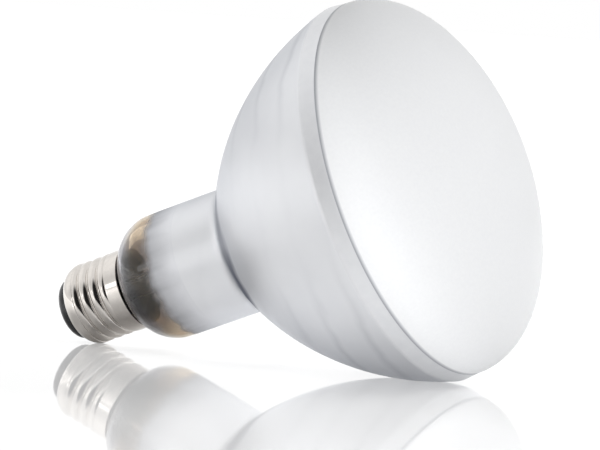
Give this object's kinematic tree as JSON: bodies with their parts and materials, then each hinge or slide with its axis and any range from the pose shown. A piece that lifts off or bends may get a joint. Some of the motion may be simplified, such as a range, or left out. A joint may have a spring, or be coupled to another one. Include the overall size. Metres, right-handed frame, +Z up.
{
  "type": "mercury vapour reflector bulb",
  "caption": "Self-ballasted mercury vapour reflector bulb with a silvered bowl, frosted domed face, clear neck end and a screw cap, lying on its side.",
  "frame": {"origin": "middle of the bulb's outline on the surface it lies on", "axes": "+Z up, +X from the cap towards the face along the floor, -Y towards the viewer"},
  "size_m": [0.1563, 0.121, 0.1152],
  "materials": {
    "envelope_glass": "silvered inside the neck and bowl, frosted on the face, clear by the cap",
    "nickel_plate": "bright nickel plate on rolled brass",
    "black_glass": "black poured glass, glossy",
    "contact_brass": "stamped brass",
    "solder": "soft solder, dull",
    "cement": "dark baked capping cement, matt",
    "stem_glass": "clear lead glass",
    "quartz": "clear fused quartz",
    "nickel_wire": "drawn nickel wire and strip",
    "molybdenum": "drawn molybdenum",
    "tungsten": "drawn tungsten",
    "ceramic": "fired ceramic, matt",
    "mercury": "liquid metal"
  },
  "bodies": {
    "root": {"envelope": "envelope_glass", "screw_shell": "nickel_plate", "insulator": "black_glass", "centre_contact": "contact_brass", "contact_solder": "solder", "side_solder": "solder", "capping_cement": "cement", "stem": "stem_glass", "exhaust_tube": "stem_glass", "centre_lead": "nickel_wire", "side_lead": "nickel_wire", "long_frame_rod": "nickel_wire", "short_frame_rod": "nickel_wire", "filament_lead": "nickel_wire", "filament_hooks": "molybdenum", "ballast_filament": "tungsten", "arc_tube": "quartz", "near_electrode": "tungsten", "far_electrode": "tungsten", "near_foil": "molybdenum", "far_foil": "molybdenum", "near_arc_lead": "nickel_wire", "far_arc_lead": "nickel_wire", "near_strap": "nickel_wire", "far_strap": "nickel_wire", "starting_electrode": "tungsten", "starting_resistor": "ceramic", "mercury_bead": "mercury"}
  },
  "joints": []
}
